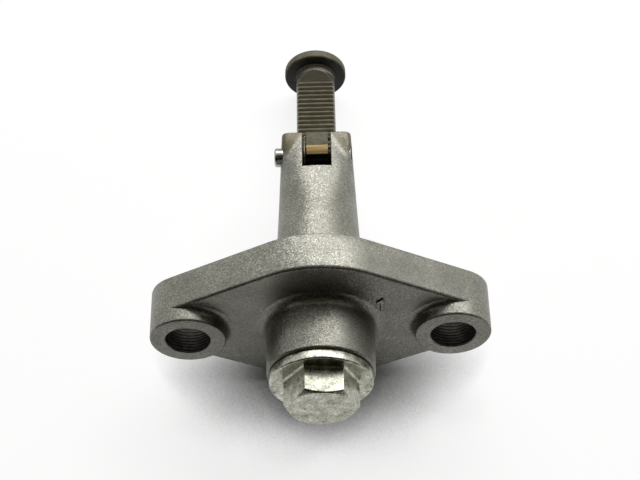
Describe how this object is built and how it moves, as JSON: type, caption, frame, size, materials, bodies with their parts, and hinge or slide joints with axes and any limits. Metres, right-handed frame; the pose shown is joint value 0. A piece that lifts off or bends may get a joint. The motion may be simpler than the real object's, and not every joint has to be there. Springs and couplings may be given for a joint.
{
  "type": "timing chain tensioner",
  "caption": "Spring-loaded ratchet plunger in a die-cast two-ear flange housing, with a slotted nose, a pawl on a cross pin and a hexagon cap bolt, to keep a timing chain taut.",
  "frame": {"origin": "on the plunger's axis, in the plane of the mounting face that meets the engine", "axes": "+Y along the plunger out of the nose into the engine, +X along the line of the two ears, +Z toward the side with the rack, the slot and the pawl"},
  "size_m": [0.0532, 0.0696, 0.0318],
  "materials": {
    "cast_aluminium": "shot-blasted die-casting, matt grey with a fine sparkle",
    "phosphated_steel": "dark olive-brown phosphated steel, satin",
    "bronze": "olive bronze with a ground slope",
    "ground_steel": "ground steel, polished",
    "spring_steel": "bright drawn spring wire",
    "zinc_plate": "pale yellow-green zinc plate, satin",
    "black_rubber": "matt black seal"
  },
  "bodies": {
    "housing": {"housing": "cast_aluminium", "pawl_pin": "ground_steel", "pawl_spring": "spring_steel", "plunger_spring": "spring_steel", "cap_bolt": "zinc_plate", "cap_seal": "black_rubber"},
    "plunger": {"plunger": "phosphated_steel"},
    "pawl": {"pawl": "bronze"}
  },
  "joints": [
    {"name": "plunger_slide", "type": "slide", "parent": "housing", "child": "plunger", "axis": [0, 1, 0], "range_m": [-0.012, 0], "stiffness_N_per_m": 300, "springref_m": 0.02, "deforming": ["plunger_spring"]},
    {"name": "pawl_pivot", "type": "hinge", "parent": "housing", "child": "pawl", "pos_m": [0, 0.0251, 0.00365], "axis": [1, 0, 0], "range_deg": [0, 12], "stiffness_Nm_per_rad": 0.0002, "springref_deg": -28.65, "deforming": ["pawl_spring"]}
  ]
}
